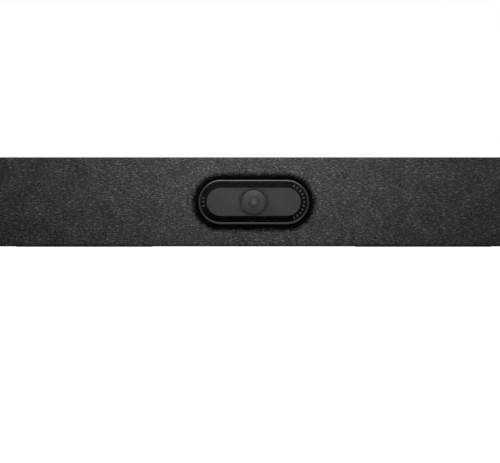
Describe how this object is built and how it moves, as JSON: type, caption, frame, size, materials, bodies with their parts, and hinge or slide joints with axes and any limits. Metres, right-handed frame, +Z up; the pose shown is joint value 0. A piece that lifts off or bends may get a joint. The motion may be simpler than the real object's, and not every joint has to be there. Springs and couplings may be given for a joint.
{
  "type": "conference camera",
  "caption": "Long fabric-fronted bar with round ends, a smoked pill-shaped camera window, speakers, microphones, a privacy shutter and a covered cable bay.",
  "frame": {"origin": "under the middle of the bar, on the surface that its feet stand on", "axes": "+X along the bar to the right as seen from the front, -Y the way the camera looks, +Z up"},
  "size_m": [0.55, 0.07, 0.079],
  "materials": {
    "fabric": "knitted melange",
    "dark_plastic": "fine moulded texture",
    "bezel": "satin black",
    "smoked_glass": "polished",
    "mask": "printed black",
    "surround": "satin grey",
    "blade": "matt black",
    "gear": "natural acetal",
    "motor": "plain",
    "lens": "coated",
    "lens_black": "anodised black look",
    "filter": "coated",
    "sensor": "polished",
    "board": "solder mask",
    "flex": "amber film",
    "steel": "plain",
    "chassis": "plain sheet",
    "components": "matt",
    "pad": "soft",
    "heat_sink": "anodised",
    "socket_metal": "plated",
    "button": "matt",
    "antenna": "copper film",
    "microphone": "gold plated can",
    "foam": "foam",
    "speaker_metal": "black paint",
    "magnet": "ferrite",
    "spider": "resin cloth",
    "cone": "paper pulp",
    "brass": "plain",
    "foot_rubber": "matt"
  },
  "bodies": {
    "main_unit": {"fabric_cover": "fabric", "front_grille": "dark_plastic", "bezel_ring": "bezel", "camera_window": "smoked_glass", "window_mask": "mask", "lens_surround": "surround", "shutter_frame": "dark_plastic", "shutter_motor": "motor", "lens_dome": "lens", "lens_retainer": "lens_black", "lens_barrel": "lens_black", "lens_elements": "lens", "lens_holder": "lens_black", "ir_filter": "filter", "image_sensor": "sensor", "sensor_board": "board", "camera_bracket": "steel", "camera_flex_cable": "flex", "chassis_plate": "chassis", "chassis_screws": "steel", "main_board": "board", "board_screws": "steel", "socket_bay": "dark_plastic", "board_components": "components", "processor_shield": "steel", "thermal_pad": "pad", "heat_sink": "heat_sink", "hdmi_sockets": "socket_metal", "usb_a_socket": "socket_metal", "usb_c_socket": "socket_metal", "ethernet_socket": "socket_metal", "power_inlet": "components", "button_switches": "components", "wifi_antennas": "antenna", "microphone_boards": "board", "microphones": "microphone", "microphone_gaskets": "foam", "speaker_box_left": "dark_plastic", "speaker_box_right": "dark_plastic", "speaker_basket_left": "speaker_metal", "speaker_basket_right": "speaker_metal", "speaker_magnet_left": "magnet", "speaker_magnet_right": "magnet", "speaker_spider_left": "spider", "speaker_spider_right": "spider", "speaker_surround_left": "foam", "speaker_surround_right": "foam", "speaker_gaskets": "foam", "speaker_screws": "steel", "rear_housing": "dark_plastic", "housing_screws": "steel", "mount_inserts": "brass", "rubber_feet": "foot_rubber"},
    "shutter_blade": {"shutter_blade": "blade"},
    "shutter_pinion": {"shutter_pinion": "gear"},
    "power_button": {"power_button": "button"},
    "reset_button": {"reset_button": "button"},
    "speaker_cone_left": {"speaker_cone_left": "cone"},
    "speaker_cone_right": {"speaker_cone_right": "cone"},
    "cable_cover": {"cable_cover": "dark_plastic"}
  },
  "joints": [
    {"name": "shutter_slide", "type": "slide", "parent": "main_unit", "child": "shutter_blade", "axis": [-1, 0, 0], "range_m": [0, 0.0272]},
    {"name": "pinion_spin", "type": "hinge", "parent": "main_unit", "child": "shutter_pinion", "pos_m": [0.0136, -0.0248, 0.01875], "axis": [0, 1, 0], "range_deg": [-325, 0]},
    {"name": "power_button_press", "type": "slide", "parent": "main_unit", "child": "power_button", "axis": [0, 0, 1], "range_m": [0, 0.0008], "stiffness_N_per_m": 900},
    {"name": "reset_button_press", "type": "slide", "parent": "main_unit", "child": "reset_button", "axis": [0, 0, 1], "range_m": [0, 0.0008], "stiffness_N_per_m": 900},
    {"name": "left_cone_stroke", "type": "slide", "parent": "main_unit", "child": "speaker_cone_left", "axis": [0, -1, 0], "range_m": [-0.002, 0.002], "stiffness_N_per_m": 1200},
    {"name": "right_cone_stroke", "type": "slide", "parent": "main_unit", "child": "speaker_cone_right", "axis": [0, -1, 0], "range_m": [-0.002, 0.002], "stiffness_N_per_m": 1200},
    {"name": "cable_cover_lift_off", "type": "slide", "parent": "main_unit", "child": "cable_cover", "axis": [0, 1, 0], "range_m": [0, 0.03]}
  ],
  "couplings": [
    {"joint": "pinion_spin", "follows": "shutter_slide", "rad_per_m": -208.33}
  ]
}
